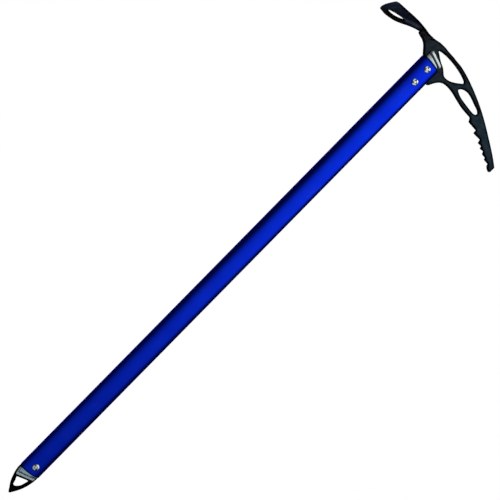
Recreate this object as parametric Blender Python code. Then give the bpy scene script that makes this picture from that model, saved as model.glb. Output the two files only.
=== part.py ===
"""Mountaineering ice axe: oval aluminium shaft tube, flat steel pick plate with a welded adze,
flat steel spike, cast liners that fill the tube ends round each plate, and two-piece rivets.

Row frame: origin on the spike's tip, +Z up the shaft to the head, +X to the pick, -X to the adze,
Y across the plates ("near" is -Y, "far" is +Y). All numbers are millimetres and are scaled to
metres when a mesh is made. A slanted plane is written (z on the axis, slope against x).
"""

import bpy
import bmesh
import math
from mathutils import Vector
from mathutils.geometry import tessellate_polygon

MM = 0.001

# ------------------------------------------------------------------ shared dimensions
SHAFT_HALF_W = 14.72        # half width of the oval tube, along X
SHAFT_HALF_D = 10.0         # half depth of the oval tube, along Y
SHAFT_POWER = 2.5           # exponent of the oval: 2 is an ellipse, larger is squarer
WALL = 1.4                  # tube wall
RIM_SPIKE = (38.1, 0.05)    # plane of the tube end at the spike
RIM_HEAD = (771.5, -0.04)   # plane of the tube end at the head
GAP = 0.3                   # assembly clearance between pieces

PLATE_T = 4.0               # thickness of the head plate and of the spike plate
PLATE_SEAT = PLATE_T / 2 + GAP  # y of whatever faces a plate
EDGE_GROW = 0.5             # added round the plates' free edges
HEAD_TANG_Z = 724.0         # how far the head's tang reaches down inside the tube
SPIKE_TANG_Z = 72.0         # how far the spike's tang reaches up inside the tube
TANG_HALF = 12.3            # half width of both tangs
TANG_CORNER_R = 2.5
SLOT_Z = 750.6              # bottom of the slot in the tube's pick side

LINER_HALF_W = SHAFT_HALF_W - WALL - GAP    # the liners inside the tube
LINER_HALF_D = SHAFT_HALF_D - WALL - GAP

RIVETS = {"head_upper": 761.0, "head_lower": 738.5, "spike": 50.0}  # height of each rivet
RIVET_SHANK_R = 2.8
RIVET_HOLE_R = RIVET_SHANK_R + GAP
DRILL_REACH = 14.0          # half length of the cutter for a rivet hole

SIDES = {"near": -1, "far": 1}


# ------------------------------------------------------------------ curves and loops
# Knot pairs blended at each level of a Catmull-Rom span.
BLEND_LEVELS = (((0, 1), (1, 2), (2, 3)), ((0, 2), (1, 3)), ((1, 2),))


def catmull(points, step, closed=False):
    """A smooth centripetal curve through the points, sampled about every `step` mm."""

    def beyond(a, b):
        """Point as far past b as a is before it."""
        return 2 * b[0] - a[0], 2 * b[1] - a[1]

    def blend(a, b, knot_a, knot_b, t):
        return tuple(
            ((knot_b - t) * u + (t - knot_a) * v) / (knot_b - knot_a) for u, v in zip(a, b)
        )

    count = len(points)
    curve = []
    for i in range(count if closed else count - 1):
        if closed:
            before, start, end, after = (points[(i + k) % count] for k in (-1, 0, 1, 2))
        else:
            start, end = points[i], points[i + 1]
            before = points[i - 1] if i > 0 else beyond(end, start)
            after = points[i + 2] if i + 2 < count else beyond(start, end)
        controls = (before, start, end, after)
        knots = [0.0]
        for a, b in zip(controls, controls[1:]):
            knots.append(knots[-1] + max(1e-6, math.dist(a, b)) ** 0.5)
        pieces = max(1, round(math.dist(start, end) / step))
        for j in range(pieces):
            t = knots[1] + (knots[2] - knots[1]) * j / pieces
            level = controls
            for spans in BLEND_LEVELS:
                level = [
                    blend(level[k], level[k + 1], knots[low], knots[high], t)
                    for k, (low, high) in enumerate(spans)
                ]
            curve.append(level[0])
    if not closed:
        curve.append(tuple(points[-1]))
    return curve


def rounded(corners, steps=3):
    """A path of corners (x, z, radius), with an arc at each inner corner that has a radius."""
    path = []
    for i, (x, z, radius) in enumerate(corners):
        if radius <= 0 or i in (0, len(corners) - 1):
            path.append((x, z))
            continue
        before, corner, after = corners[i - 1][:2], (x, z), corners[i + 1][:2]
        point = Vector(corner)
        back = (Vector(before) - point).normalized()
        ahead = (Vector(after) - point).normalized()
        half = back.angle(ahead) / 2
        if half > math.radians(86):     # almost straight
            path.append(corner)
            continue
        room = min(math.dist(before, corner), math.dist(after, corner)) * 0.48
        radius = min(radius, room * math.tan(half))
        reach = radius / math.tan(half)
        centre = point + (back + ahead).normalized() * (radius / math.sin(half))
        start = point + back * reach - centre
        turn = start.angle_signed(point + ahead * reach - centre)
        for j in range(steps + 1):
            angle = -turn * j / steps
            path.append((
                centre.x + start.x * math.cos(angle) - start.y * math.sin(angle),
                centre.y + start.x * math.sin(angle) + start.y * math.cos(angle),
            ))
    return path


def join(*paths):
    """One closed loop from open paths, without repeated points."""
    same = 0.02
    loop = []
    for path in paths:
        for p in path:
            if not loop or math.dist(loop[-1], p) > same:
                loop.append((p[0], p[1]))
    if math.dist(loop[0], loop[-1]) <= same:
        loop.pop()
    return loop


def ccw(loop):
    """The loop, turned counter-clockwise."""
    area = 0.5 * sum(a[0] * b[1] - b[0] * a[1] for a, b in zip(loop, loop[1:] + loop[:1]))
    return loop if area > 0 else loop[::-1]


def shrink(loop, distance):
    """A counter-clockwise loop moved inwards (outwards if negative), with long mitres cut short."""
    moved = []
    for i, p in enumerate(loop):
        point = Vector(p)
        arrive = (point - Vector(loop[i - 1])).normalized()
        leave = (Vector(loop[(i + 1) % len(loop)]) - point).normalized()
        normal = Vector((-arrive.y, arrive.x))
        mitre = normal + Vector((-leave.y, leave.x))
        if mitre.length < 1e-6:
            mitre = normal.copy()
        mitre.normalize()
        q = point + mitre * (distance / max(0.6, mitre.dot(normal)))
        moved.append((q.x, q.y))
    return moved


def swell(loop, distance, keep):
    """A loop moved outwards, except where keep(x, z) is true."""
    loop = ccw(loop)
    return [p if keep(*p) else q for p, q in zip(loop, shrink(loop, -distance))]


def circle(x, z, radius, count=28):
    angles = [2 * math.pi * i / count for i in range(count)]
    return [(x + radius * math.cos(a), z + radius * math.sin(a)) for a in angles]


def oval(half_w, half_d, angle, power=SHAFT_POWER):
    """Point (x, y) of an oval section at a parameter angle."""
    c, s = math.cos(angle), math.sin(angle)
    x = half_w * math.copysign(abs(c) ** (2 / power), c)
    y = half_d * math.copysign(abs(s) ** (2 / power), s)
    return x, y


def along(table, x):
    """Smooth value of a table of (x, value) at x, by cubic steps between its rows."""
    rows = sorted(table)
    last = len(rows) - 1
    if x <= rows[0][0]:
        return rows[0][1]
    for i in range(last):
        (x0, v0), (x1, v1) = rows[i], rows[i + 1]
        if x <= x1:
            before, after = rows[max(i - 1, 0)], rows[min(i + 2, last)]
            slope0 = (v1 - before[1]) / (x1 - before[0])
            slope1 = (after[1] - v0) / (after[0] - x0)
            h, t = x1 - x0, (x - x0) / (x1 - x0)
            return (
                (2 * t**3 - 3 * t**2 + 1) * v0 + (t**3 - 2 * t**2 + t) * h * slope0
                + (-2 * t**3 + 3 * t**2) * v1 + (t**3 - t**2) * h * slope1
            )
    return rows[-1][1]


def ramp(value):
    return min(1.0, max(0.0, value))


def plane_z(plane, x):
    return plane[0] + plane[1] * x


def at_y(loop, y):
    """An (x, z) loop set at a depth y."""
    return [(x, y, z) for x, z in loop]


def at_z(loop, z):
    """An (x, y) loop set at a height z."""
    return [(x, y, z) for x, y in loop]


# ------------------------------------------------------------------ meshes
def clear():
    for ob in list(bpy.data.objects):
        bpy.data.objects.remove(ob, do_unlink=True)


def material(name, rgb, rough, metal):
    mat = bpy.data.materials.new(name)
    mat.use_nodes = True
    bsdf = next(n for n in mat.node_tree.nodes if n.type == "BSDF_PRINCIPLED")
    bsdf.inputs["Base Color"].default_value = (*rgb, 1.0)
    bsdf.inputs["Roughness"].default_value = rough
    bsdf.inputs["Metallic"].default_value = metal
    mat.diffuse_color = (*rgb, 1.0)
    return mat


def shade(mesh, sharp_angle):
    mesh.shade_smooth()
    mesh.set_sharp_from_angle(angle=math.radians(sharp_angle))


def solid(name, verts, faces, mat, sharp_angle=30.0):
    """One closed mesh object from millimetre vertices; flat shaded if sharp_angle is 0."""
    mesh = bpy.data.meshes.new(name)
    mesh.from_pydata([tuple(c * MM for c in v) for v in verts], [], faces)
    bm = bmesh.new()
    bm.from_mesh(mesh)
    bmesh.ops.remove_doubles(bm, verts=bm.verts, dist=1e-7)
    bmesh.ops.recalc_face_normals(bm, faces=bm.faces)
    bm.to_mesh(mesh)
    bm.free()
    mesh.materials.append(mat)
    ob = bpy.data.objects.new(name, mesh)
    bpy.context.scene.collection.objects.link(ob)
    if sharp_angle:
        shade(mesh, sharp_angle)
    return ob


def loft(rings, looped=False):
    """Vertices and faces of a skin through equal rings: last joined to first, or both capped."""
    n = len(rings[0])
    last = (len(rings) - 1) * n
    verts = [p for ring in rings for p in ring]
    faces = []
    for k in range(len(rings) - 1):
        for i in range(n):
            j = (i + 1) % n
            faces.append((k * n + i, k * n + j, (k + 1) * n + j, (k + 1) * n + i))
    if looped:
        faces += [(last + i, last + (i + 1) % n, (i + 1) % n, i) for i in range(n)]
    else:
        faces += [tuple(range(n)), tuple(last + i for i in range(n))]
    return verts, faces


def plate(name, outer, holes, chamfer, mat):
    """A flat plate in the XZ plane, centred on y = 0, with chamfered edges and through holes."""
    outer = ccw(outer)
    holes = [ccw(hole) for hole in holes]
    loops = [outer] + [hole[::-1] for hole in holes]
    face_loops = [shrink(outer, chamfer)] + [shrink(hole, -chamfer)[::-1] for hole in holes]
    half = PLATE_T / 2
    verts, faces = [], []
    face_index = []     # for each point of the flat face: its vertex at -Y and its vertex at +Y
    for loop, face_loop in zip(loops, face_loops):
        first, n = len(verts), len(loop)
        verts += at_y(face_loop, -half) + at_y(loop, chamfer - half)
        verts += at_y(loop, half - chamfer) + at_y(face_loop, half)
        for k in range(3):
            s = first + k * n
            for i in range(n):
                j = (i + 1) % n
                faces.append((s + i, s + j, s + n + j, s + n + i))
        face_index += [(first + i, first + 3 * n + i) for i in range(n)]
    for triangle in tessellate_polygon([[Vector((x, z, 0)) for x, z in f] for f in face_loops]):
        for end in (0, 1):
            faces.append(tuple(face_index[t][end] for t in triangle))
    return solid(name, verts, faces, mat)


def boolean(ob, rings, operation="DIFFERENCE"):
    """Cut the lofted rings out of ob, or add them to it, with a modifier on a helper object."""
    helper = solid("helper", *loft(rings), STEEL, sharp_angle=0)
    helper.hide_render = True
    modifier = ob.modifiers.new(operation.lower(), "BOOLEAN")
    modifier.operation = operation
    modifier.solver = "EXACT"
    modifier.object = helper


def drill(ob, rivet_names):
    """Cut the named rivets' holes through ob."""
    for name in rivet_names:
        loop = circle(0, RIVETS[name], RIVET_HOLE_R, 32)
        boolean(ob, [at_y(loop, -DRILL_REACH), at_y(loop, DRILL_REACH)])


def bake(ob, sharp_angle=30.0):
    """Turn an object's modifiers into its mesh and drop the helpers they used."""
    helpers = [m.object for m in ob.modifiers]
    graph = bpy.context.evaluated_depsgraph_get()
    graph.update()
    mesh = bpy.data.meshes.new_from_object(ob.evaluated_get(graph))
    ob.modifiers.clear()
    ob.data = mesh
    for helper in helpers:
        bpy.data.objects.remove(helper, do_unlink=True)
    bm = bmesh.new()
    bm.from_mesh(mesh)
    bmesh.ops.remove_doubles(bm, verts=bm.verts, dist=2e-6)
    bmesh.ops.dissolve_degenerate(bm, edges=bm.edges, dist=2e-6)
    bmesh.ops.recalc_face_normals(bm, faces=bm.faces)
    bm.to_mesh(mesh)
    bm.free()
    shade(mesh, sharp_angle)


# ------------------------------------------------------------------ empty scene and materials
clear()
STEEL = material("blackened_steel", rgb=(0.010, 0.012, 0.015), rough=0.5, metal=0.7)
SPIKE_STEEL = material("blackened_spike_steel", rgb=(0.006, 0.007, 0.008), rough=0.5, metal=0.7)
ADZE_STEEL = material("blackened_adze_steel", rgb=(0.010, 0.011, 0.020), rough=0.45, metal=0.7)
WELD = material("weld_metal", rgb=(0.012, 0.013, 0.015), rough=0.65, metal=0.6)
BLUE = material("blue_anodised", rgb=(0.004, 0.022, 0.55), rough=0.32, metal=0.75)
CAST = material("cast_aluminium", rgb=(0.52, 0.60, 0.58), rough=0.42, metal=0.8)
RIVET = material("rivet_steel", rgb=(0.62, 0.66, 0.68), rough=0.28, metal=0.9)
STEM = material("rivet_stem_steel", rgb=(0.30, 0.34, 0.31), rough=0.4, metal=0.85)


# ------------------------------------------------------------------ shaft tube
FLAT_HALF = 2.6         # half width of the truly flat strip on each broad side
RIM_CHAMFER = 0.3
SLOT_X = (9.0, 20.0)    # the slot's cutter, from inside the bore to clear of the tube
SLOT_OVERRUN = 6.0      # the slot's cutter above the head rim


def tube_ring(inset, rim, lift):
    """The tube's section, inset from its outside, on the rim's plane raised by lift."""
    half_w, half_d = SHAFT_HALF_W - inset, SHAFT_HALF_D - inset
    count = 80
    ring = []
    for i in range(count):
        x, y = oval(half_w, half_d, 2 * math.pi * (i + 0.5) / count)
        if abs(x) <= FLAT_HALF:
            y = math.copysign(half_d, y)
        ring.append((x, y, plane_z((rim[0] + lift, rim[1]), x)))
    return ring


def rim_rings(rim, lift):
    """The chamfered rim at a tube end, from the bore to the outside."""
    return [
        tube_ring(WALL, rim, lift),
        tube_ring(WALL - RIM_CHAMFER, rim, 0.0),
        tube_ring(RIM_CHAMFER, rim, 0.0),
        tube_ring(0.0, rim, lift),
    ]


def shaft_tube():
    rings = rim_rings(RIM_SPIKE, RIM_CHAMFER) + rim_rings(RIM_HEAD, -RIM_CHAMFER)[::-1]
    ob = solid("shaft_tube", *loft(rings, looped=True), BLUE)
    x0, x1 = SLOT_X
    slot = [(x0, -PLATE_SEAT), (x1, -PLATE_SEAT), (x1, PLATE_SEAT), (x0, PLATE_SEAT)]
    boolean(ob, [at_z(slot, SLOT_Z), at_z(slot, RIM_HEAD[0] + SLOT_OVERRUN)])
    drill(ob, RIVETS)
    bake(ob)


# ------------------------------------------------------------------ adze blade
ADZE_T = 2.7            # blade thickness
ADZE_DISH = 3.4         # how far the middle of the blade hangs below its long edges
ADZE_FLARE_X = -52.0    # where the dish and the roll begin
ADZE_DISH_RUN = 34.0    # length over which the dish grows to its full depth
ADZE_ROLL = 0.8         # the far side hangs lower by this much, and the near one higher
ADZE_ROLL_RUN = 40.0    # length over which the roll grows to its full amount
ADZE_NECK_X = -21.6     # narrow end of the blade
ADZE_EDGE_X = -92.45    # corners of the cutting edge
ADZE_HALF = 33.6        # half width at the cutting edge
ADZE_BULGE = 4.5        # how far the middle of the edge stands out
ADZE_SKEW = 2.2         # the far corner is set back by this much, and the near one forward
ADZE_CORNER_R = 3.0
ADZE_BEVEL = 9.0        # length of the bevel under the cutting edge
ADZE_EDGE_T = 0.26      # share of the thickness left at the cutting edge
ADZE_SIDE_T = 0.9       # share of the thickness left at the long edges
ADZE_SIDE_FADE = 1.2    # width over which the long edges thin out
ADZE_SIDE_DROP = 0.15   # fall of the top at a long edge, per unit of thickness share lost
ADZE_HOLE_X = -76.9     # centre of the oval hole
ADZE_HOLE_HALF = (12.3, 10.2)       # its half sizes in x and y
ADZE_HOLE_CUT_Z = (760.0, 810.0)    # reach of its cutter
ADZE_ROWS, ADZE_COLS = 34, 16       # grid from neck to edge, and across

# (x, z) of the blade's top at its long edges.
ADZE_TOP = [
    (-21.0, 796.3), (-30.0, 794.6), (-36.0, 793.9), (-42.0, 792.9), (-50.0, 790.8),
    (-58.0, 787.9), (-66.0, 785.3), (-74.0, 783.5), (-82.0, 782.1), (-90.0, 780.8),
    (-100.0, 779.3),
]
# (x, half width) of the blade.
ADZE_WIDTH = [
    (-21.0, 2.0), (-26.0, 3.1), (-31.0, 5.1), (-36.0, 8.1), (-42.0, 11.7), (-48.0, 16.4),
    (-54.0, 22.0), (-60.0, 27.2), (-66.0, 31.0), (-73.0, 32.6), (-82.0, 33.2), (-92.0, 33.6),
    (-100.0, 33.3),
]


def adze_underside(x):
    return along(ADZE_TOP, x) - ADZE_T


def adze_dish(x):
    """Depth of the blade's trough at x: none at the neck, full where the blade is wide."""
    f = ramp((ADZE_FLARE_X - x) / ADZE_DISH_RUN)
    return ADZE_DISH * f * f * (3 - 2 * f)


def adze_edge_x(t):
    """The convex cutting edge with rounded corners; t runs from -1 (near) to 1 (far)."""
    x = ADZE_EDGE_X - ADZE_BULGE * (1 - t * t) + ADZE_SKEW * t
    into_corner = abs(t) * ADZE_HALF - (ADZE_HALF - ADZE_CORNER_R)
    if into_corner > 0:
        x += ADZE_CORNER_R - math.sqrt(max(0.0, ADZE_CORNER_R**2 - into_corner**2))
    return x


def adze_points(s, t):
    """Top and bottom points of the blade at s from neck to edge and t across."""
    edge_x = adze_edge_x(t)
    x = ADZE_NECK_X + s * (edge_x - ADZE_NECK_X)
    half = along(ADZE_WIDTH, x)
    y = half * t
    roll = ADZE_ROLL * t * ramp((ADZE_FLARE_X - x) / ADZE_ROLL_RUN)
    z = along(ADZE_TOP, x) - adze_dish(x) * (1 - t * t) - roll
    bevel = ADZE_EDGE_T + (1 - ADZE_EDGE_T) * ramp((x - edge_x) / ADZE_BEVEL)
    from_side = min(1.0, (1 - abs(t)) * half / ADZE_SIDE_FADE)
    side = ADZE_SIDE_T + (1 - ADZE_SIDE_T) * from_side
    return (x, y, z - ADZE_SIDE_DROP * (1 - side)), (x, y, z - ADZE_T * bevel * side)


def adze_blade():
    """A thin dished blade, sharpened from below, with an oval hole through it."""
    points = []
    for i in range(ADZE_ROWS + 1):
        s = (i / ADZE_ROWS) ** 0.92     # rows a little wider apart at the neck
        for j in range(ADZE_COLS + 1):
            even = -1 + 2 * j / ADZE_COLS
            # columns closer together towards the long edges
            t = 0.55 * math.sin(math.pi / 2 * even * 0.999) + 0.45 * even
            points.append(adze_points(s, t))
    verts = [top for top, _ in points] + [bottom for _, bottom in points]
    n = ADZE_COLS + 1
    off = len(points)
    faces = []
    for i in range(ADZE_ROWS):
        for j in range(ADZE_COLS):
            a = i * n + j
            faces.append((a, a + 1, a + n + 1, a + n))
            faces.append((off + a, off + a + n, off + a + n + 1, off + a + 1))
        for j in (0, ADZE_COLS):
            a = i * n + j
            faces.append((a, a + n, off + a + n, off + a))
    for j in range(ADZE_COLS):
        for i in (0, ADZE_ROWS):
            a = i * n + j
            faces.append((a, a + 1, off + a + 1, off + a))
    ob = solid("adze_blade", verts, faces, ADZE_STEEL)
    half_x, half_y = ADZE_HOLE_HALF
    hole = [(ADZE_HOLE_X + x * half_x, y * half_y) for x, y in circle(0.0, 0.0, 1.0, 44)]
    boolean(ob, [at_z(hole, z) for z in ADZE_HOLE_CUT_Z])
    bake(ob, sharp_angle=24.0)


# ------------------------------------------------------------------ head plate: pick, neck, tang
HEAD_CHAMFER = 0.35
# (x, z) along the top, from the adze seat to the tip of the pick.
PICK_TOP = [
    (-20.9, 796.2), (-10, 798.5), (0, 799.5), (10, 799.9), (18, 800.0), (30, 799.4),
    (40, 798.2), (50, 796.2), (60, 793.7), (70, 790.8), (80, 787.6), (90, 784.0),
    (100, 779.9), (110, 775.4), (120, 770.5), (130, 765.4), (140, 760.3), (150, 754.9),
    (160, 748.9), (164.6, 745.9),
]
# Each tooth from the tip inwards: heel x, heel z, point x, point z, and x of the root beyond
# the point. A root is as high as the next tooth's heel.
TEETH = [
    (164.2, 737.2, 156.6, 740.7, 155.8),
    (155.0, 743.8, 147.8, 743.8, 146.5),
    (145.6, 746.6, 140.2, 746.6, 138.4),
    (136.4, 750.1, 132.2, 749.3, 131.1),
    (130.0, 752.8, 124.6, 752.3, 123.5),
    (121.6, 757.1, 110.4, 756.3, 110.0),
    (108.0, 761.2, 94.6, 761.1, 91.6),
]
LAST_ROOT_Z = 765.6
TIP_HOLLOW = (160.2, 738.2, 1.5)    # x, z, radius: bend in the underside of the first tooth
TIP_CUT = (0.6, 0.9)                # x and z of the cut corner at the first heel
TIP_R, HEEL_R, POINT_R, ROOT_R = 0.5, 0.7, 0.55, 0.7
# (x, z) along the underside, from the last tooth to the tube's slot.
PICK_LOWER = [
    (90.0, 766.2), (80, 766.0), (72, 766.3), (65, 767.2), (57, 768.5), (50, 769.7),
    (42, 770.1), (36.6, 769.7), (31.9, 768.7), (28.0, 766.4), (24.8, 763.3), (21.8, 759.1),
    (19.6, 755.0), (18.3, 752.4),
]
# (x, z) under the adze, from the tube outwards.
THROAT = [
    (-15.0, 772.6), (-16.7, 774.9), (-19.6, 778.1), (-24.6, 782.6), (-29.8, 785.1),
    (-34.9, 785.9), (-38.5, 786.2),
]
# x of the stations along the seat of the adze blade.
ADZE_SEAT_X = (-38.5, -35.0, -31.5, -28.0, -24.5, -20.9)
# (x, z) round the hole near the shaft.
BIG_HOLE = [
    (-4.0, 790.8), (-2.6, 792.3), (0.5, 793.2), (5, 794.2), (10, 794.9), (20, 795.3),
    (30, 794.9), (40, 793.6), (47, 791.9), (50.6, 790.6), (52.1, 788.4), (50.4, 786.2),
    (48.2, 784.5), (43.4, 780.6), (38.3, 777.2), (34.2, 775.2), (30.1, 774.0), (26.9, 773.8),
    (23.7, 774.6), (20.6, 776.9), (16.7, 779.8), (13.7, 781.1), (9.7, 782.5), (4.7, 784.9),
    (-0.4, 787.9), (-3.2, 789.3),
]
# (x, z) round the hole further along the pick.
LONG_HOLE = [
    (51.3, 777.3), (53.2, 780.2), (56.8, 783.0), (61.8, 784.7), (67, 785.1), (73, 784.2),
    (80, 782.4), (86, 780.8), (91.6, 779.3), (95.1, 776.7), (94.7, 773.7), (91.6, 771.8),
    (87, 771.1), (80, 771.3), (70, 771.8), (62, 772.6), (56.6, 774.0), (52.8, 775.5),
]


def tooth_path():
    """Corners (x, z, radius) from the top of the tip to the start of the plain underside."""
    tip_x, tip_z = PICK_TOP[-1]
    heel_x, heel_z = TEETH[0][:2]
    path = [
        (tip_x, tip_z, 0),
        (tip_x, heel_z + TIP_CUT[1], TIP_R),
        (heel_x - TIP_CUT[0], heel_z, TIP_R),
        TIP_HOLLOW,
    ]
    root_heights = [tooth[1] for tooth in TEETH[1:]] + [LAST_ROOT_Z]
    for k, (tooth, root_z) in enumerate(zip(TEETH, root_heights)):
        heel_x, heel_z, point_x, point_z, root_x = tooth
        if k > 0:
            path.append((heel_x, heel_z, HEEL_R))
        path += [(point_x, point_z, POINT_R), (root_x, root_z, ROOT_R)]
    path.append((*PICK_LOWER[0], 0))
    return path


def head_edge_fixed(x, z):
    """Edges that are not grown: two stretches of the top, the tang and the seat of the adze."""
    crown = (-21.0 < x < -12.0 or 2.0 < x < 28.0) and z > along(PICK_TOP, x) - 0.6
    tang = abs(x) < 15.2 and z < 773.0
    seat = x < -20.0 and z > adze_underside(x) - GAP - 0.5
    return crown or tang or seat or x < -37.0


def head_plate():
    lobe_z = SLOT_Z + 0.5       # the plate stands just clear of the slot's bottom
    throat_x, throat_z = THROAT[0]
    lobe = [(*PICK_LOWER[-1], 0), (17.4, lobe_z, 1.1), (TANG_HALF, lobe_z, 0)]
    tang = [
        (TANG_HALF, lobe_z, 0),
        (TANG_HALF, HEAD_TANG_Z, TANG_CORNER_R),
        (-TANG_HALF, HEAD_TANG_Z, TANG_CORNER_R),
        (-TANG_HALF, throat_z, 0),
        (throat_x, throat_z, 0),
    ]
    outer = join(
        catmull(PICK_TOP, 5.0),
        rounded(tooth_path()),
        catmull(PICK_LOWER, 3.5),
        rounded(lobe),
        rounded(tang, 4),
        catmull(THROAT, 3.0),
        [(x, adze_underside(x) - GAP) for x in ADZE_SEAT_X],
    )
    holes = [
        shrink(ccw(catmull(hole, 3.0, closed=True)), EDGE_GROW * 0.8)
        for hole in (BIG_HOLE, LONG_HOLE)
    ]
    holes += [circle(0, RIVETS[key], RIVET_HOLE_R) for key in ("head_upper", "head_lower")]
    outer = swell(outer, EDGE_GROW, head_edge_fixed)
    plate("head_plate", outer, holes, HEAD_CHAMFER, STEEL)


# ------------------------------------------------------------------ weld beads
WELD_X = (-39.4, -22.6)     # ends of the bead, wide end first
WELD_GAP = 0.12             # clearance to the plate and to the blade
WELD_LEG_Y = (0.55, 3.6)    # least and greatest leg along the blade
WELD_SIDE_INSET = 0.9       # kept clear of the blade's long edge
WELD_LEG_Z = 3.9            # leg down the plate at the wide end
WELD_TAPER = 2.5            # how much shorter that leg is at the narrow end
WELD_RIPPLE = 0.07          # height of the ripple, as a share of the leg
WELD_HOLLOW = 0.16          # how much the middle of the bead is drawn in
WELD_END = 0.45             # size of the end rings against their neighbours
WELD_STEPS = 40


def weld(name, side):
    """A rippled bead between the plate and the blade's underside, thinner at the narrow end."""
    plate_y = PLATE_T / 2 + WELD_GAP
    leg_min, leg_max = WELD_LEG_Y
    rings = []
    for i in range(WELD_STEPS + 1):
        x = WELD_X[0] + (WELD_X[1] - WELD_X[0]) * i / WELD_STEPS
        roof = adze_underside(x) - WELD_GAP
        room = along(ADZE_WIDTH, x) - WELD_SIDE_INSET - plate_y
        leg_y = max(leg_min, min(room, leg_max))
        leg_z = WELD_LEG_Z - WELD_TAPER * i / WELD_STEPS
        ripple = 1.0 + WELD_RIPPLE * math.sin(2 * math.pi * i / 4.0)
        end = WELD_END if i in (0, WELD_STEPS) else 1.0
        ring = [(x, side * plate_y, roof)]
        for k in range(7):
            a = math.pi / 2 * k / 6
            size = ripple * end * (1.0 - WELD_HOLLOW * math.sin(2 * a))
            y = side * (plate_y + leg_y * size * math.cos(a))
            ring.append((x, y, roof - leg_z * size * math.sin(a)))
        rings.append(ring)
    solid(name, *loft(rings), WELD, sharp_angle=35.0)


# ------------------------------------------------------------------ cast liners
def half_oval(side, half_w, half_d, cut_x, lift, plane, power=SHAFT_POWER):
    """D-shaped section beside a plate, on a slanted plane: oval outside, cut square at x = cut_x
    on the adze side, and flat towards the plate, lift further out than the plate's seat."""
    flat = PLATE_SEAT + lift
    start = math.pi - math.acos((-cut_x / half_w) ** (power / 2))
    end = math.asin((flat / half_d) ** (power / 2))
    count = 26
    points = [
        oval(half_w, half_d, start + (end - start) * i / (count - 1), power)
        for i in range(count)
    ]
    points.append((cut_x, flat))
    return [(x, side * y, plane_z(plane, x)) for x, y in points]


def liner_body(name, side, sections):
    rings = [half_oval(side, *section) for section in sections]
    return solid(name, *loft(rings), CAST)


def head_liner(name, side):
    """Fills the tube's head end; above the rim a groove runs round under a squarer lip."""
    body_w, body_d = LINER_HALF_W, LINER_HALF_D
    floor_w, floor_d = body_w - 2.0, 4.5        # bottom of the groove
    lip_w, lip_d, lip_power = 12.5, SHAFT_HALF_D - 0.3, 6.0
    groove_low, groove_high = (775.1, -0.245), (777.4, -0.245)
    # half width, half depth, cut x, lift of the flat, plane, power of the oval
    sections = [
        (body_w - 0.6, body_d - 0.6, -10.4, 0.2, (HEAD_TANG_Z + 2.0, 0)),
        (body_w, body_d, -11.0, 0, (HEAD_TANG_Z + 2.6, 0)),
        (body_w, body_d, -11.0, 0, groove_low),
        (floor_w, floor_d, -10.4, 0.3, groove_low),
        (floor_w, floor_d, -10.4, 0.3, groove_high),
        (lip_w, lip_d, -11.2, 0, groove_high, lip_power),
        (lip_w, lip_d, -11.2, 0, (779.8, -0.262), lip_power),
        (lip_w - 0.5, lip_d - 0.5, -10.8, 0.05, (780.4, -0.262), lip_power),
    ]
    ob = liner_body(name, side, sections)
    drill(ob, ("head_upper", "head_lower"))
    bake(ob)


def spike_rim(x):
    """Height just clear of the tube's spike end."""
    return plane_z(RIM_SPIKE, x) - GAP


FLANGE_T = 3.1
FLANGE_CHAMFER = 0.5
# (x, z) round the flange that lies against the spike plate.
FLANGE = [
    (-13.4, spike_rim(-13.4)), (-13.2, 33.0), (-12.3, 28.2), (-11.9, 26.5), (-11.1, 25.8),
    (-4.0, 27.8), (4.0, 29.9), (10.0, 31.5), (11.3, 32.2), (11.9, 33.5),
    (12.2, spike_rim(12.2)),
]
# The L-shaped groove between the raised block and the flange's edge.
GROOVE_DEPTH = 1.9
GROOVE_CUT_Y = 12.0             # reach of its cutter past the plate's seat
GROOVE_UPPER = (34.35, 0.27)    # slanted sides of its long leg
GROOVE_LOWER = (32.0, 0.24)
GROOVE_END_X = 15.0
# (x, z) round the groove: down beside the block and along it, then back along the flange's edge.
GROOVE = [
    (-12.1, 37.6), (-10.8, 32.0), (-10.4, 31.5),
    (GROOVE_END_X, plane_z(GROOVE_UPPER, GROOVE_END_X)),
    (GROOVE_END_X, plane_z(GROOVE_LOWER, GROOVE_END_X)),
    (-11.2, plane_z(GROOVE_LOWER, -11.2)), (-12.5, 35.6), (-12.8, 37.6),
]


def spike_liner(name, side):
    """Fills the tube's spike end, stands out of it as a raised block, and carries a flange."""
    body_w, body_d = LINER_HALF_W, LINER_HALF_D
    rim_z, rim_slope = RIM_SPIKE
    # half width, half depth, cut x, lift of the flat, plane
    sections = [
        (body_w - 0.6, body_d - 0.6, -11.6, 0.25, (SPIKE_TANG_Z - 2.0, 0)),
        (body_w, body_d, -12.0, 0.05, (SPIKE_TANG_Z - 2.6, 0)),
        (body_w, body_d, -12.0, 0.05, (rim_z + 0.9, rim_slope)),
        (body_w - 0.3, body_d - 0.2, -11.9, 0.1, (rim_z - 0.3, rim_slope)),
        (11.2, body_d - 0.35, -10.7, 0.15, (34.9, 0.27)),
        (10.7, body_d - 0.85, -10.3, 0.2, (34.4, 0.27)),
    ]
    ob = liner_body(name, side, sections)
    edge = ccw(FLANGE)
    face_y = PLATE_SEAT + FLANGE_T
    flange = [
        at_y(edge, side * PLATE_SEAT),
        at_y(edge, side * (face_y - FLANGE_CHAMFER)),
        at_y(shrink(edge, FLANGE_CHAMFER), side * face_y),
    ]
    boolean(ob, flange, "UNION")
    groove = ccw(GROOVE)
    groove_ys = (face_y - GROOVE_DEPTH, PLATE_SEAT + GROOVE_CUT_Y)
    boolean(ob, [at_y(groove, side * y) for y in groove_ys])
    drill(ob, ("spike",))
    bake(ob)


# ------------------------------------------------------------------ spike plate
SPIKE_CHAMFER = 0.5
SPIKE_SHOULDER = 14.0       # half width where the plate meets the tube end
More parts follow.
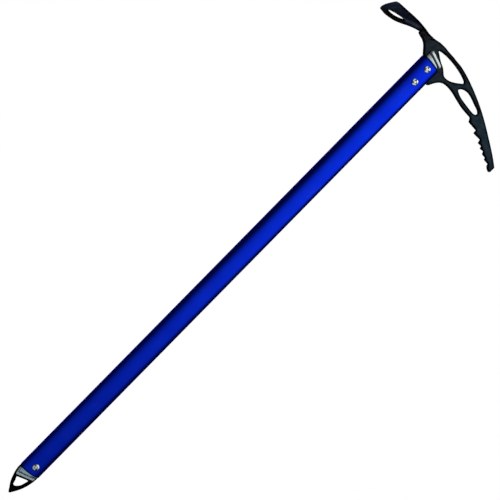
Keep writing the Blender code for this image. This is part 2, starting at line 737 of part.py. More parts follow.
# (x, z) up the pick side from the tip, as far as the shoulder.
SPIKE_RIGHT = [
    (0.8, 0.0), (2.5, 3.2), (5.1, 7.2), (7.6, 11.6), (9.6, 16.0), (11.2, 20.5), (12.8, 27.0),
    (13.7, 33.0),
]
# (x, z) down the adze side from the shoulder to the tip.
SPIKE_LEFT = [
    (-13.6, 30.0), (-11.9, 23.0), (-9.9, 17.0), (-7.8, 12.0), (-5.3, 7.7), (-2.7, 4.0),
    (-0.8, 0.0),
]
# (x, z) round the eye.
EYE = [
    (-8.0, 21.6), (-7.3, 23.0), (-4.0, 24.2), (0, 25.4), (4.5, 26.7), (7.6, 27.2), (9.2, 26.0),
    (8.3, 22.0), (7.2, 18.0), (5.5, 14.2), (2.3, 10.9), (-0.6, 9.5), (-3.2, 10.3),
    (-4.7, 12.9), (-5.7, 16.9), (-6.9, 19.6),
]


def spike_plate():
    right_end = (SPIKE_SHOULDER, spike_rim(SPIKE_SHOULDER))
    left_end = (-SPIKE_SHOULDER, spike_rim(-SPIKE_SHOULDER))
    tang = [
        (*right_end, 0),
        (TANG_HALF, spike_rim(TANG_HALF), 0),
        (TANG_HALF, SPIKE_TANG_Z, TANG_CORNER_R),
        (-TANG_HALF, SPIKE_TANG_Z, TANG_CORNER_R),
        (-TANG_HALF, spike_rim(-TANG_HALF), 0),
        (*left_end, 0),
    ]
    outer = join(
        catmull(SPIKE_RIGHT + [right_end], 2.5),
        rounded(tang, 4),
        catmull([left_end] + SPIKE_LEFT, 2.5),
    )
    # the shoulders, the tang and the very tip are not grown
    outer = swell(outer, EDGE_GROW + 0.05, lambda x, z: z > 36.6 or z < 0.01)
    eye = shrink(ccw(catmull(EYE, 2.0, closed=True)), EDGE_GROW + 0.1)
    holes = [eye, circle(0, RIVETS["spike"], RIVET_HOLE_R)]
    plate("spike_plate", outer, holes, SPIKE_CHAMFER, SPIKE_STEEL)


# ------------------------------------------------------------------ rivets
RIVET_HEAD_R = 4.4
RIVET_HEAD_H = 1.5
RIVET_BORE_R = 2.2
RIVET_SEAT = SHAFT_HALF_D + 0.08    # y of the underside of a rivet head
RIVET_UNDERCUT = 0.1                # the head's underside is this much smaller than its rim
RIVET_EDGE = 0.35                   # height of the head's straight rim, and round its bore
STEM_R = 1.9
STEM_SUNK = 0.55                    # stem end below the top of the head
STEM_CHAMFER = (0.35, 0.3)          # in radius and along the stem


def turned(name, profile, z, mat, count, looped=False):
    """A piece turned round the Y axis at height z, from (radius, y) rows."""
    rings = [at_y(circle(0, z, radius, count), y) for radius, y in profile]
    solid(name, *loft(rings, looped), mat, sharp_angle=40.0)


def rivet_sleeve(name, z):
    """A hollow shank with a low domed head on each broad side."""
    crown_r = RIVET_BORE_R + RIVET_EDGE
    near = [(RIVET_SHANK_R, -RIVET_SEAT), (RIVET_HEAD_R - RIVET_UNDERCUT, -RIVET_SEAT)]
    for k in range(7):
        a = math.pi / 2 * k / 6
        radius = crown_r + (RIVET_HEAD_R - crown_r) * math.cos(a)
        height = RIVET_EDGE + (RIVET_HEAD_H - RIVET_EDGE) * math.sin(a)
        near.append((radius, -(RIVET_SEAT + height)))
    near.append((RIVET_BORE_R, -(RIVET_SEAT + RIVET_HEAD_H - RIVET_EDGE)))
    far = [(radius, -y) for radius, y in near[::-1]]
    turned(name, near + far, z, RIVET, count=36, looped=True)


def rivet_stem(name, z):
    """The solid stem left in the sleeve's bore."""
    end = RIVET_SEAT + RIVET_HEAD_H - STEM_SUNK
    cut_r, cut_y = STEM_CHAMFER
    profile = [
        (STEM_R - cut_r, -end), (STEM_R, -end + cut_y),
        (STEM_R, end - cut_y), (STEM_R - cut_r, end),
    ]
    turned(name, profile, z, STEM, count=28)


# ------------------------------------------------------------------ build
shaft_tube()
head_plate()
adze_blade()
spike_plate()
for side_name, side_sign in SIDES.items():
    weld("adze_weld_" + side_name, side_sign)
    head_liner("head_liner_" + side_name, side_sign)
    spike_liner("spike_liner_" + side_name, side_sign)
for rivet_name, rivet_z in RIVETS.items():
    rivet_sleeve(rivet_name + "_rivet_sleeve", rivet_z)
    rivet_stem(rivet_name + "_rivet_stem", rivet_z)
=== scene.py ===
"""Looks of an ice axe: metal finishes for every CAD node, a pale floor, studio light, camera.

The shaft stands along +Z with the spike at its foot and the head on top. The flat plates lie
in the XZ plane and the adze reaches towards -X. The camera stands on the -Y side.
Scene lengths are metres; places in the metal shaders are millimetres.
"""
import math

import bpy
from mathutils import Matrix, Vector

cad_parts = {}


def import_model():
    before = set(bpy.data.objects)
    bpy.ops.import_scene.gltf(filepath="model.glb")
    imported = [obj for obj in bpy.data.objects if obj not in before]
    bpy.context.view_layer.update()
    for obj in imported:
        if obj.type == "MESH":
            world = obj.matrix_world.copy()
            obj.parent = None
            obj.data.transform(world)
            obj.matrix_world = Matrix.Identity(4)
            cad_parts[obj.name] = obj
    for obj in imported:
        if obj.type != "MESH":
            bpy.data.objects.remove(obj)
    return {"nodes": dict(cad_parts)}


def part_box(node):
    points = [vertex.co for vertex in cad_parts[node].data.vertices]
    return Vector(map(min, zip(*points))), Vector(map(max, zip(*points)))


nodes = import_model()["nodes"]
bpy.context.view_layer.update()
scene = bpy.context.scene

WHITE = (1.0, 1.0, 1.0)
DEGREES = 180.0 / math.pi


# ------------------------------------------------------------------ shader trees
class Value:
    """A shader output. Arithmetic on it adds Math nodes; rise and fall add smooth steps."""

    def __init__(self, tree, socket):
        self.tree = tree
        self.socket = socket

    def math(self, operation, second=0.0, third=0.0):
        return self.tree.math(operation, self, second, third)

    def __add__(self, other):
        return self.math("ADD", other)

    def __radd__(self, other):
        return self.tree.math("ADD", other, self)

    def __sub__(self, other):
        return self.math("SUBTRACT", other)

    def __rsub__(self, other):
        return self.tree.math("SUBTRACT", other, self)

    def __mul__(self, other):
        return self.math("MULTIPLY", other)

    def __abs__(self):
        return self.math("ABSOLUTE")

    def between(self, low, high):
        """low where this is 0, high where it is 1."""
        return self.tree.math("ADD", low, self * self.tree.math("SUBTRACT", high, low))

    def rise(self, lo, hi, top=1.0):
        """Smooth step from 0 at lo to top at hi."""
        return self.tree.step(self, lo, hi, 0.0, top)

    def fall(self, lo, hi, top=1.0):
        """Smooth step from top at lo to 0 at hi."""
        return self.tree.step(self, lo, hi, top, 0.0)

    def band(self, rise, fall):
        """1 between two smooth steps, each given as (lo, hi)."""
        return self.rise(*rise) * self.fall(*fall)


class Tree:
    """A node tree with a short call for each kind of node used below."""

    def __init__(self, tree):
        self.tree = tree
        tree.nodes.clear()

    def node(self, kind, inputs=None, **props):
        node = self.tree.nodes.new("ShaderNode" + kind)
        for key, prop in props.items():
            setattr(node, key, prop)
        self.fill(node, inputs or {})
        return node

    def value(self, kind, inputs=None, output=0, **props):
        return Value(self, self.node(kind, inputs, **props).outputs[output])

    def fill(self, node, inputs):
        """Links each Value to its input, and sets plain numbers and colours as defaults."""
        for key, source in inputs.items():
            target = node.inputs[key]
            if isinstance(source, Value):
                self.tree.links.new(source.socket, target)
            elif isinstance(source, tuple):
                target.default_value = (source + (1.0,))[:len(target.default_value)]
            else:
                target.default_value = source

    def math(self, operation, first, second=0.0, third=0.0):
        return self.value("Math", {0: first, 1: second, 2: third}, operation=operation)

    def vector_math(self, operation, first, second=(0, 0, 0), output="Vector"):
        return self.value("VectorMath", {0: first, 1: second}, output, operation=operation)

    def scale(self, vector, factor):
        return self.value("VectorMath", {0: vector, "Scale": factor}, "Vector", operation="SCALE")

    def xyz(self, vector):
        return [Value(self, socket) for socket in self.node("SeparateXYZ", {0: vector}).outputs]

    def vec(self, x, y, z):
        return self.value("CombineXYZ", {0: x, 1: y, 2: z})

    def step(self, value, lo, hi, out_lo, out_hi):
        ends = {"Value": value, "From Min": lo, "From Max": hi, "To Min": out_lo, "To Max": out_hi}
        return self.value("MapRange", ends, interpolation_type="SMOOTHSTEP")

    def noise(self, vector, scale, detail=3.0, rough=0.55, distort=0.0):
        inputs = {"Vector": vector, "Scale": scale, "Detail": detail, "Roughness": rough,
                  "Distortion": distort}
        return self.value("TexNoise", inputs, "Fac", noise_dimensions="3D")

    def voronoi(self, vector, scale, feature="F1"):
        inputs = {"Vector": vector, "Scale": scale}
        return self.value("TexVoronoi", inputs, "Distance", feature=feature)

    def mix(self, factor, first, second):
        """First colour where factor is 0, second where it is 1."""
        node = self.node("Mix", {"Factor": factor, "A": first, "B": second}, data_type="RGBA")
        return Value(self, next(o for o in node.outputs if o.type == "RGBA"))

    def mix_shader(self, factor, first, second):
        return self.value("MixShader", {0: factor, 1: first, 2: second})

    def bump(self, height, strength, distance, normal=None):
        inputs = {"Height": height, "Strength": strength, "Distance": distance}
        if normal is not None:
            inputs["Normal"] = normal
        return self.value("Bump", inputs)

    def curve(self, value, stops):
        """A smooth curve through (value, result) stops; value runs from -1 to 1."""
        lo = min(result for _, result in stops)
        hi = max(result for _, result in stops)
        node = self.node("ValToRGB", {0: value.math("MULTIPLY_ADD", 0.5, 0.5)})
        node.color_ramp.interpolation = "EASE"
        elements = node.color_ramp.elements
        while len(elements) > 1:
            elements.remove(elements[-1])
        for i, (at, result) in enumerate(stops):
            position = (at + 1) / 2
            share = (result - lo) / (hi - lo)
            element = elements[0] if i == 0 else elements.new(position)
            element.position = position
            element.color = (share, share, share, 1)
        return Value(self, node.outputs[0]).math("MULTIPLY_ADD", hi - lo, lo)


# ------------------------------------------------------------------ shared parts of the metals
def metal(name):
    """A material with its tree, its Principled shader and its object coordinates in mm."""
    mat = bpy.data.materials.new(name)
    mat.use_nodes = True
    tree = Tree(mat.node_tree)
    shader = tree.node("BsdfPrincipled")
    tree.node("OutputMaterial", {"Surface": Value(tree, shader.outputs[0])})
    place = tree.scale(tree.value("TexCoord", output="Object"), 1000.0)
    return mat, tree, shader, place


def rounded(tree, radius_mm):
    """Normal with softened edges."""
    return tree.value("Bevel", {"Radius": radius_mm / 1000.0}, samples=6)


def edge_mask(tree, normal, lo, hi):
    """0 on faces, 1 on edges, from how far the rounded normal turns."""
    flat = tree.value("NewGeometry", output="Normal")
    same = tree.vector_math("DOT_PRODUCT", normal, flat, output="Value")
    return (1.0 - same).rise(lo, hi)


def hollows(tree, reach):
    """1 in grooves and corners narrower than reach, in metres; a mask for painted shade."""
    shade = tree.value("AmbientOcclusion", {"Distance": reach}, "AO", samples=6)
    return shade.fall(lo=0.20, hi=0.70)


def ripples(tree, place, distance, rate, waver_scale, waver):
    """Waves from 0 to 1 along a distance, their phase shifted by noise."""
    shift = tree.noise(place, waver_scale, detail=2.0) * waver
    return (distance * rate + shift).math("SINE").math("MULTIPLY_ADD", 0.5, 0.5)


def put(mat, *names):
    for name in names:
        mesh = nodes[name].data
        mesh.materials.clear()
        mesh.materials.append(mat)
        for poly in mesh.polygons:
            poly.material_index = 0


# ------------------------------------------------------------------ smooth shading of the meshes
WELD_GAP = 2e-6
SPLIT_DEGREES = 32.0
# nodes that split at an angle of their own, degrees
OWN_SPLIT = {"adze_blade": 38.0, "head_plate": 24.0, "spike_plate": 24.0}


def smooth(name, ob):
    mesh = ob.data
    if "custom_normal" in mesh.attributes:
        mesh.attributes.remove(mesh.attributes["custom_normal"])
    for poly in mesh.polygons:
        poly.use_smooth = True
    weld = ob.modifiers.new("weld", "WELD")
    weld.merge_threshold = WELD_GAP
    split = ob.modifiers.new("split", "EDGE_SPLIT")
    split.split_angle = math.radians(OWN_SPLIT.get(name, SPLIT_DEGREES))
    split.use_edge_sharp = False


for node_name, node_object in nodes.items():
    smooth(node_name, node_object)


# ------------------------------------------------------------------ anodised aluminium of the shaft
# each rim of the tube: height on the axis and slant against x, mm
TOP_RIM, TOP_SLANT = 771.5, 0.04
FOOT_RIM, FOOT_SLANT = 38.1, 0.05
TUBE_COLOURS = {
    "deep": (0.003, 0.019, 0.66),
    "bright": (0.004, 0.037, 0.86),
    "streak": (0.000, 0.018, 0.50),
    "worn": (0.30, 0.34, 0.55),
    # painted shade along the two rims of the tube
    "rim": (0.000, 0.004, 0.06),
    "scratch": (0.22, 0.28, 0.72),
    "sheen": (0.02, 0.10, 1.0),
}


def anodised():
    mat, tree, shader, place = metal("look_blue_anodised_aluminium")
    x, y, z = tree.xyz(place)
    # extrusion lines: fine across the tube, drawn out along it
    along = tree.vec(x * 3.2, y * 3.2, z * 0.018)
    lines = tree.noise(along, scale=1.0, detail=5.0, rough=0.62)
    broad = tree.noise(tree.vec(x * 0.5, y * 0.5, z * 0.006), scale=1.0, detail=2.0)
    cloud = tree.noise(place, scale=0.045, rough=0.5)
    grain = tree.noise(place, scale=5.5, detail=2.0, rough=0.6)
    # a few long thin scratches, almost along the shaft: cell borders of a drawn-out pattern
    warp = tree.vec((x + z * 0.05) * 1.15, y * 1.15, z * 0.012)
    scratch = tree.voronoi(warp, scale=1.0, feature="DISTANCE_TO_EDGE").fall(lo=0.0, hi=0.010)
    where = tree.noise(place, scale=0.022, detail=2.0).rise(lo=0.56, hi=0.66)
    scratch = scratch * where * 0.35
    tube_colour = tree.mix(cloud, TUBE_COLOURS["deep"], TUBE_COLOURS["bright"])
    tube_colour = tree.mix(broad * 0.30, tube_colour, TUBE_COLOURS["streak"])
    # the dye is thin in patches along the edges
    normal = rounded(tree, radius_mm=0.5)
    edge = edge_mask(tree, normal, lo=0.05, hi=0.5)
    worn = edge * tree.noise(place, scale=0.9).rise(lo=0.42, hi=0.72)
    tube_colour = tree.mix(worn * 0.10, tube_colour, TUBE_COLOURS["worn"])
    # painted shade: the colour turns dark along the two rims of the tube
    below_top = TOP_RIM - x * TOP_SLANT - z
    above_foot = z - (FOOT_RIM + x * FOOT_SLANT)
    to_rim = below_top.math("MINIMUM", above_foot)
    tube_colour = tree.mix(to_rim.fall(lo=1.0, hi=2.3, top=0.96), tube_colour, TUBE_COLOURS["rim"])
    tube_colour = tree.mix(scratch, tube_colour, TUBE_COLOURS["scratch"])
    normal = tree.bump(lines, strength=0.10, distance=0.00006, normal=normal)
    tree.fill(shader, {
        "Base Color": tube_colour,
        "Metallic": 1.0,
        "Roughness": lines.between(low=0.20, high=0.36) + grain * 0.05 + scratch * 0.25,
        "Normal": tree.bump(grain, strength=0.05, distance=0.00003, normal=normal),
        "Specular Tint": TUBE_COLOURS["sheen"],
    })
    return mat


# ------------------------------------------------------------------ blackened steel
HEAT_STAIN = (0.0030, 0.0036, 0.0042)
RUBBED_STEEL = (0.16, 0.165, 0.17)
STEEL_SHEEN = (0.10, 0.12, 0.14)


def heat_stain(tree, place, colour, x, z):
    """Dark speckles about the weld of the adze."""
    near = x.band(rise=(-50.0, -38.0), fall=(-33.0, -22.0)) * z.rise(lo=781.0, hi=786.0)
    spots = tree.noise(place, scale=0.75, detail=4.0, rough=0.7).rise(lo=0.38, hi=0.66)
    return tree.mix(near * (spots * 0.85), colour, HEAT_STAIN)


def temper_highlight_and_shade(tree, colour, x, y, z, tone, temper_and_highlight):
    """Temper colour beside the weld along the middle of the blade, also standing as a painted
    highlight; painted shade on its +Y part.
    """
    # painted shade on the +Y part of the blade, from x = -48 mm outwards
    dark = y.rise(lo=2.0, hi=10.0) * x.fall(lo=-56.0, hi=-48.0)
    colour = tree.mix(dark * 0.85, colour, tree.scale(tone, 0.10))
    # temper colour that also stands as a painted highlight, in a band along the middle of the blade
    # beside the weld
    middle = abs(y + 5.5).fall(lo=2.0, hi=12.0)
    band = x.band(rise=(-80.0, -62.0), fall=(-48.0, -41.0)) * middle
    streak = tree.noise(tree.vec(x * 0.12, y * 0.9, z * 0.3), scale=1.0, rough=0.6)
    return tree.mix(band * streak.between(low=0.55, high=1.0), colour, temper_and_highlight)


def blackened(name, tone, tint, spec, rough, wear, far_tone=None, weld_zone=False, grind=None,
              temper_and_highlight=None, walls=True, rim_mm=3.8):
    """Black-oxide steel with a satin sheen, its edges rubbed a little brighter.

    tone turns to far_tone towards +X, and tint smears over both. rough is the (low, high)
    roughness, wear the share of rubbed metal on edges, grind the x range over which grinding
    marks fade out, walls whether the cut walls get painted shade, rim_mm the width of the painted
    dark outline.
    """
    mat, tree, shader, place = metal(name)
    x, y, z = tree.xyz(place)
    blast = tree.noise(place, scale=3.4, rough=0.65)
    mottle = tree.noise(place, scale=0.16, detail=4.0, rough=0.6, distort=0.6)
    smear = tree.noise(tree.vec(x * 0.10, y * 0.5, z * 0.55), scale=1.0, detail=4.0, rough=0.6)
    normal = rounded(tree, radius_mm=0.45)
    edge = edge_mask(tree, normal, lo=0.03, hi=0.34)
    cast = tree.mix(x.rise(lo=10.0, hi=95.0), tone, far_tone or tone)
    cloud = mottle.rise(lo=0.30, hi=0.72)
    colour = tree.mix(cloud, tree.scale(cast, 0.62), tree.scale(cast, 1.42))
    colour = tree.mix(smear.rise(lo=0.45, hi=0.7) * 0.35, colour, tint)
    if weld_zone:
        colour = heat_stain(tree, place, colour, x, z)
    # on the adze: temper colour and painted highlight, and painted shade on the +Y part
    if temper_and_highlight is not None:
        colour = temper_highlight_and_shade(tree, colour, x, y, z, tone, temper_and_highlight)
    worn = tree.noise(place, scale=0.8, detail=4.0, rough=0.65).rise(lo=0.40, hi=0.74)
    rub = edge * worn
    # painted shade: the colour is darkened along the outline of the plate
    thin = tree.value("AmbientOcclusion", {"Distance": rim_mm / 1000.0}, "AO",
                      samples=10, inside=True, only_local=True)
    outline = thin.fall(lo=0.75, hi=0.94, top=0.97)
    colour = tree.mix(outline, colour, tree.scale(colour, 0.04))
    if walls:
        # painted shade: the cut walls of the plate, square to its flat faces, are darkened
        face = abs(tree.xyz(tree.value("NewGeometry", output="Normal"))[1])
        wall_shade = face.fall(lo=0.55, hi=0.95, top=0.9)
        colour = tree.mix(wall_shade, colour, tree.scale(colour, 0.15))
    if grind is not None:
        # fine grinding marks along X, square to an edge that lies along Y
        marks = tree.noise(tree.vec(x * 0.25, y * 5.0, z * 0.25), scale=1.0, rough=0.6)
        ground = x.fall(*grind)
        bright = tuple(min(1.0, c * 4.0) for c in tone)
        colour = tree.mix(ground * marks.between(low=0.1, high=0.5), colour, bright)
    sheen = mottle.rise(lo=0.25, hi=0.75).between(*rough) + (blast - 0.5) * 0.18
    normal = tree.bump(blast, strength=0.30, distance=0.00006, normal=normal)
    normal = tree.bump(mottle, strength=0.22, distance=0.00025, normal=normal)
    if grind is not None:
        normal = tree.bump(marks * ground, strength=0.3, distance=0.00008, normal=normal)
    tree.fill(shader, {
        "Base Color": tree.mix(rub * wear, colour, RUBBED_STEEL),
        "Metallic": 0.88,
        "Specular Tint": STEEL_SHEEN,
        "Specular IOR Level": spec,
        "Roughness": sheen - rub * 0.14,
        "Normal": normal,
    })
    return mat


# ------------------------------------------------------------------ weld metal
WELD = {
    "crust_dark": (0.004, 0.004, 0.0045),
    "crust_light": (0.022, 0.021, 0.022),
    "heat": (0.014, 0.012, 0.014),
    "crest": (0.045, 0.047, 0.052),
}


def weld_metal():
    """Crusted bead with ripples that follow one another along X."""
    mat, tree, shader, place = metal("look_weld_metal")
    x = tree.xyz(place)[0]
    ripple = ripples(tree, place, x, rate=5.2, waver_scale=0.5, waver=4.0)
    crust = tree.noise(place, scale=1.6, detail=5.0, rough=0.7)
    heat = tree.noise(place, scale=0.28, rough=0.6)
    colour = tree.mix(crust.rise(lo=0.35, hi=0.68), WELD["crust_dark"], WELD["crust_light"])
    colour = tree.mix(heat.rise(lo=0.5, hi=0.7) * 0.4, colour, WELD["heat"])
    colour = tree.mix(ripple.rise(lo=0.75, hi=1.0) * 0.35, colour, WELD["crest"])
    normal = tree.bump(ripple, strength=0.55, distance=0.00030)
    tree.fill(shader, {
        "Base Color": colour,
        "Metallic": 0.25,
        "Specular IOR Level": 0.35,
        "Roughness": crust.between(low=0.32, high=0.62),
        "Normal": tree.bump(crust, strength=0.45, distance=0.00025, normal=normal),
    })
    return mat


# ------------------------------------------------------------------ cast aluminium liners
BRIGHT_EDGE = (0.86, 0.92, 0.92)
LINER_SHADE = (0.018, 0.030, 0.030)
SHADE_LINE_BLUR = 0.12
SHADE_LINE_END_BLUR = 0.2


def cast_aluminium(name, dark_tone, light_tone, grooves):
    """Sand-cast surface with painted shade in its hollows and along the listed lines."""
    mat, tree, shader, place = metal(name)
    x, _, z = tree.xyz(place)
    sand = tree.noise(place, scale=2.1, detail=4.0, rough=0.62)
    pits = tree.voronoi(place, scale=0.95).rise(lo=0.10, hi=0.30)
    cloud = tree.noise(place, scale=0.25)
    normal = rounded(tree, radius_mm=0.35)
    edge = edge_mask(tree, normal, lo=0.03, hi=0.30)
    colour = tree.mix(cloud.rise(lo=0.3, hi=0.7), dark_tone, light_tone)
    colour = tree.mix((1.0 - pits) * 0.35, colour, tree.scale(dark_tone, 0.4))
    colour = tree.mix(edge * 0.35, colour, BRIGHT_EDGE)
    # painted shade in the hollows of the casting
    liner_shade = hollows(tree, reach=0.0022) * 0.85
    # painted shade along each listed line, in the liners' grooves and as contact shadow along the
    # tube's rims
    for height, slant, half, x_from, x_to in grooves:
        off = abs(z - x * slant - height)
        inside = off.fall(half - SHADE_LINE_BLUR, half + SHADE_LINE_BLUR) * x.band(
            rise=(x_from - SHADE_LINE_END_BLUR, x_from + SHADE_LINE_END_BLUR),
            fall=(x_to - SHADE_LINE_END_BLUR, x_to + SHADE_LINE_END_BLUR))
        liner_shade = liner_shade.math("MAXIMUM", inside * 0.93)
    normal = tree.bump(sand, strength=0.38, distance=0.00014, normal=normal)
    tree.fill(shader, {
        "Base Color": tree.mix(liner_shade, colour, LINER_SHADE),
        "Metallic": 0.80,
        "Roughness": sand.between(low=0.34, high=0.58),
        "Normal": tree.bump(pits, strength=0.20, distance=0.00010, normal=normal),
    })
    return mat


# ------------------------------------------------------------------ rivets
HEAD_RADIUS = 4.4  # mm
RIVET_GAP_SHADE = (0.05, 0.06, 0.055)
BROWN, MOSS, SHADE_BLACK = (0.045, 0.028, 0.018), (0.026, 0.050, 0.034), (0.012, 0.018, 0.014)


def shade_wedges(tree, place, colour, x, dz, radius, marks):
    """Dark wedges of painted shade on a rivet head, open towards its rim, with wandering sides."""
    angle = dz.math("ARCTAN2", x) * DEGREES
    wander = (tree.noise(place, scale=0.9, detail=2.0) - 0.5) * 30.0
    for at, half, depth, tint in marks:
        away = angle + wander - at
        away = abs((away + 180.0).math("FLOORED_MODULO", 360.0) - 180.0)
        wedge = away.fall(half * 0.6, half * 1.3)
        wedge = wedge * radius.rise(HEAD_RADIUS * 0.15, HEAD_RADIUS * 0.38)
        colour = tree.mix(wedge * depth, colour, tint)
    return colour


def rivet_metal(name, centre_z, base, spots, rough, marks=()):
    """Metal turned in rings about an axis along Y at height centre_z, mm, with dull spots."""
    mat, tree, shader, place = metal(name)
    x, _, z = tree.xyz(place)
    dz = z - centre_z
    radius = (x * x + dz * dz).math("SQRT")
    rings = ripples(tree, place, radius, rate=26.0, waver_scale=1.0, waver=3.0)
    fine = tree.noise(place, scale=4.0, rough=0.6)
    dull = tree.noise(place, scale=0.85, rough=0.6, distort=0.4).rise(lo=0.44, hi=0.66)
    colour = tree.mix(dull * 0.6, base, spots)
    colour = tree.mix(rings * 0.05, colour, tuple(c * 0.5 for c in base))
    # painted shade: dark wedges on the rivet head
    if marks:
        colour = shade_wedges(tree, place, colour, x, dz, radius, marks)
    # painted shade in the gaps and hollows about the rivet
    colour = tree.mix(hollows(tree, reach=0.0012) * 0.45, colour, RIVET_GAP_SHADE)
    normal = rounded(tree, radius_mm=0.25)
    normal = tree.bump(rings, strength=0.05, distance=0.00004, normal=normal)
    normal = tree.bump(dull, strength=0.30, distance=0.00030, normal=normal)
    tree.fill(shader, {
        "Base Color": colour,
        "Metallic": 1.0,
        "Roughness": fine.between(low=rough - 0.07, high=rough + 0.10) + dull * 0.12,
        "Normal": tree.bump(fine, strength=0.22, distance=0.00005, normal=normal),
    })
    return mat


# ------------------------------------------------------------------ finishes on the nodes
# painted shade lines, in the grooves of the liners and along the rims of the tube: height on the
# axis, slant against x, half width, from x, to x; mm
HEAD_SHADE_LINES = [(776.25, -0.245, 1.05, -11.5, 14.0), (772.0, -0.04, 0.75, -15.0, 15.0)]
SPIKE_SHADE_LINES = [(33.2, 0.25, 1.0, -11.2, 12.6), (37.95, 0.05, 0.45, -15.0, 15.0)]
# painted shade wedges on each rivet: degrees from +X towards +Z, half width in degrees, depth of
# tone, colour
SHADE_WEDGES = {
    "head_upper": [(103.0, 27.0, 0.96, BROWN), (-135.0, 28.0, 0.92, MOSS), (-8.0, 22.0, 0.90, SHADE_BLACK)],
    "head_lower": [(105.0, 26.0, 0.95, BROWN), (-138.0, 30.0, 0.92, MOSS), (-4.0, 20.0, 0.90, SHADE_BLACK)],
    "spike": [(135.0, 20.0, 0.85, SHADE_BLACK), (-43.0, 27.0, 0.98, SHADE_BLACK), (-110.0, 34.0, 0.45, MOSS)],
}

put(anodised(), "shaft_tube")
put(blackened(
    "look_blackened_steel", tone=(0.0150, 0.0215, 0.0290), tint=(0.0230, 0.0300, 0.0380),
    far_tone=(0.0165, 0.0300, 0.0420), spec=0.06, rough=(0.40, 0.54), wear=0.07, weld_zone=True,
), "head_plate")
put(blackened(
    "look_blackened_spike_steel", tone=(0.0030, 0.0065, 0.0085), tint=(0.0060, 0.0120, 0.0150),
    spec=0.05, rough=(0.38, 0.52), wear=0.05,
), "spike_plate")
put(blackened(
    "look_blackened_adze_steel", tone=(0.0300, 0.0370, 0.0620), tint=(0.045, 0.055, 0.090),
    spec=0.06, rough=(0.38, 0.50), wear=0.06, weld_zone=True, grind=(-94.0, -86.0),
    temper_and_highlight=(0.200, 0.235, 0.350), walls=False, rim_mm=2.2,
), "adze_blade")
put(weld_metal(), "adze_weld_near", "adze_weld_far")
put(cast_aluminium(
    "look_cast_head_liner", dark_tone=(0.62, 0.72, 0.74), light_tone=(0.80, 0.88, 0.90),
    grooves=HEAD_SHADE_LINES,
), "head_liner_near", "head_liner_far")
put(cast_aluminium(
    "look_cast_spike_liner", dark_tone=(0.40, 0.58, 0.62), light_tone=(0.52, 0.66, 0.72),
    grooves=SPIKE_SHADE_LINES,
), "spike_liner_near", "spike_liner_far")
for rivet, rivet_shade_wedges in SHADE_WEDGES.items():
    low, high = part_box(rivet + "_rivet_sleeve")
    middle_z = 500.0 * (low.z + high.z)  # mean height, in mm
    put(rivet_metal(
        "look_rivet_" + rivet, middle_z, base=(0.95, 1.0, 1.0), spots=(0.56, 0.72, 0.64),
        rough=0.20, marks=rivet_shade_wedges,
    ), rivet + "_rivet_sleeve")
    put(rivet_metal(
        "look_rivet_stem_" + rivet, middle_z, base=(0.86, 0.94, 0.84), spots=(0.56, 0.66, 0.54),
        rough=0.34,
    ), rivet + "_rivet_stem")


# ------------------------------------------------------------------ pale floor
FLOOR_Z = -0.0012
RING_RADII = [0.15, 0.4, 0.8, 1.4, 2.2, 3.2, 4.5, 6.0]
RING_SIDES = 64


def floor_material():
    """Pale, mostly glowing paper; clear from below and towards its rim."""
    mat = bpy.data.materials.new("pale_floor")
    mat.use_nodes = True
    tree = Tree(mat.node_tree)
    coord = tree.value("TexCoord", output="Object")
    paper = tree.noise(coord, scale=90.0, detail=4.0, rough=0.6)
    matt = tree.value("BsdfDiffuse", {
        "Color": tree.mix(paper, (0.90, 0.90, 0.90), (0.94, 0.94, 0.94)),
        "Normal": tree.bump(paper, strength=0.05, distance=0.0004),
    })
    glow = tree.value("Emission", {"Color": WHITE, "Strength": 1.02})
    soft = tree.mix_shader(0.95, matt, glow)
    fade = tree.vector_math("LENGTH", coord, output="Value").rise(lo=2.0, hi=5.6)
    gone = fade.math("MAXIMUM", tree.value("NewGeometry", output="Backfacing"))
    surface = tree.mix_shader(gone, soft, tree.value("BsdfTransparent"))
    tree.node("OutputMaterial", {"Surface": surface})
    return mat


def floor():
    """A disc of rings about the origin."""
    mesh = bpy.data.meshes.new("floor")
    turns = [2 * math.pi * k / RING_SIDES for k in range(RING_SIDES)]
    verts = [(0, 0, FLOOR_Z)]
    for r in RING_RADII:
        verts += [(r * math.cos(turn), r * math.sin(turn), FLOOR_Z) for turn in turns]
    pairs = [(k, (k + 1) % RING_SIDES) for k in range(RING_SIDES)]
    faces = [(0, 1 + k, 1 + after) for k, after in pairs]
    for i in range(len(RING_RADII) - 1):
        inner = 1 + i * RING_SIDES
        outer = inner + RING_SIDES
        faces += [(inner + k, outer + k, outer + after, inner + after) for k, after in pairs]
    mesh.from_pydata(verts, [], faces)
    mesh.update()
    ob = bpy.data.objects.new("floor", mesh)
    scene.collection.objects.link(ob)
    mesh.materials.append(floor_material())
    ob.visible_glossy = False
    ob.visible_diffuse = False


floor()

# ------------------------------------------------------------------ studio light
# each table: height of the direction (-1 straight down, 1 straight up), then the value there
FRONT_GAIN = [
    (-1.0, 0.60), (-0.60, 0.60), (-0.42, 0.30), (-0.34, 0.160), (-0.304, 0.170),
    (-0.264, 0.295), (-0.207, 0.47), (-0.147, 0.56), (-0.086, 0.65), (-0.023, 0.74),
    (0.039, 0.87), (0.102, 0.93), (0.163, 1.0), (0.213, 1.05), (0.26, 0.86), (0.40, 0.78),
    (1.0, 0.80),
]
# the -X side of the front box brightens between these two azimuths, degrees
LEFT_DARK = [
    (-1.0, -125), (-0.264, -112), (-0.207, -104), (-0.147, -85), (-0.086, -66),
    (-0.023, -62), (0.04, -50), (0.163, -50), (0.213, -58), (0.26, -72), (1.0, -80),
]
LEFT_BRIGHT = [
    (-1.0, -30), (-0.304, -18), (-0.25, -14), (-0.207, -5), (-0.147, 15), (-0.086, 24),
    (-0.023, 28), (0.04, 22), (0.163, 22), (0.213, 26), (0.26, 30), (1.0, 20),
]


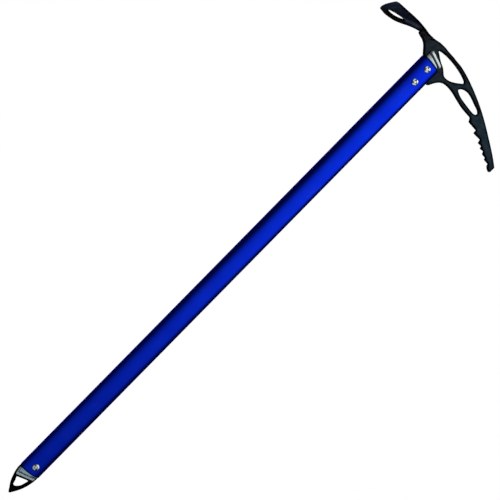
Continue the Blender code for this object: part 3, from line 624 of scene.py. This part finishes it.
def studio():
    """Soft boxes all round for the metal; plain white for the camera."""
    world = bpy.data.worlds.new("studio")
    scene.world = world
    world.use_nodes = True
    tree = Tree(world.node_tree)
    direction = tree.vector_math("NORMALIZE", tree.value("TexCoord", output="Generated"))
    dx, dy, dz = tree.xyz(direction)
    # 0 towards -Y, positive towards +X
    azimuth = dx.math("ARCTAN2", dy * -1.0) * DEGREES
    # wide soft box in front, on the -Y side
    gain = tree.curve(dz, FRONT_GAIN)
    left = azimuth.rise(lo=tree.curve(dz, LEFT_DARK), hi=tree.curve(dz, LEFT_BRIGHT))
    up = dz.rise(lo=-0.30, hi=0.20)
    right = azimuth.fall(lo=up.between(low=20.0, high=52.0), hi=up.between(low=66.0, high=80.0))
    # up to 0.14 brighter towards +X, above the level
    upper_right = azimuth.rise(lo=2.0, hi=48.0) * dz.rise(lo=-0.05, hi=0.15)
    front = left * right * gain * upper_right.math("MULTIPLY_ADD", 0.14, 1.0)
    # soft boxes behind, low and high, with a faint glow between, and light from above
    round_back = abs(azimuth).rise(lo=105.0, hi=150.0)
    low_back = dz.fall(lo=-0.58, hi=-0.34, top=0.55) * round_back
    high_back = dz.rise(lo=0.36, hi=0.60, top=0.70) * round_back
    behind = low_back + high_back + round_back * 0.12
    above = dz.rise(lo=0.42, hi=0.85) * 0.65
    level = front.math("MAXIMUM", behind).math("MAXIMUM", above) + 0.030
    lit = tree.value("Background", {"Color": WHITE, "Strength": level})
    seen = tree.value("Background", {"Color": WHITE, "Strength": 1.0})
    by_camera = tree.value("LightPath", output="Is Camera Ray")
    tree.node("OutputWorld", {"Surface": tree.mix_shader(by_camera, lit, seen)})


def soft_light(name, place, aim, side, watts):
    light = bpy.data.lights.new(name, "AREA")
    light.shape = "RECTANGLE"
    light.size = light.size_y = side
    light.energy = watts
    light.spread = math.pi
    ob = bpy.data.objects.new(name, light)
    scene.collection.objects.link(ob)
    ob.location = place
    ob.rotation_mode = "QUATERNION"
    ob.rotation_quaternion = (Vector(aim) - Vector(place)).to_track_quat("-Z", "Y")


studio()
soft_light("key", place=(0.7, -1.5, 2.3), aim=(0.0, 0.0, 0.55), side=1.0, watts=8.0)
soft_light("rear_fill", place=(0.35, 1.6, 2.9), aim=(0.0, 0.0, 0.5), side=1.2, watts=9.0)

# ------------------------------------------------------------------ camera, rolled about its view
CAMERA_PLACE = (-0.30828, -1.07320, 0.43643)
CAMERA_RIGHT = (0.68431, -0.19994, 0.70125)
CAMERA_UP = (-0.67384, 0.19416, 0.71291)


def add_camera():
    data = bpy.data.cameras.new("camera")
    data.sensor_width = 36.0
    data.lens = 62.532
    data.clip_start = 0.05
    data.clip_end = 50.0
    camera = bpy.data.objects.new("camera", data)
    scene.collection.objects.link(camera)
    right = Vector(CAMERA_RIGHT).normalized()
    up = Vector(CAMERA_UP)
    up = (up - right * up.dot(right)).normalized()
    turn = Matrix((right, up, right.cross(up))).transposed()
    camera.matrix_world = Matrix.Translation(CAMERA_PLACE) @ turn.to_4x4()
    scene.camera = camera


add_camera()
scene.view_settings.view_transform = "Standard"
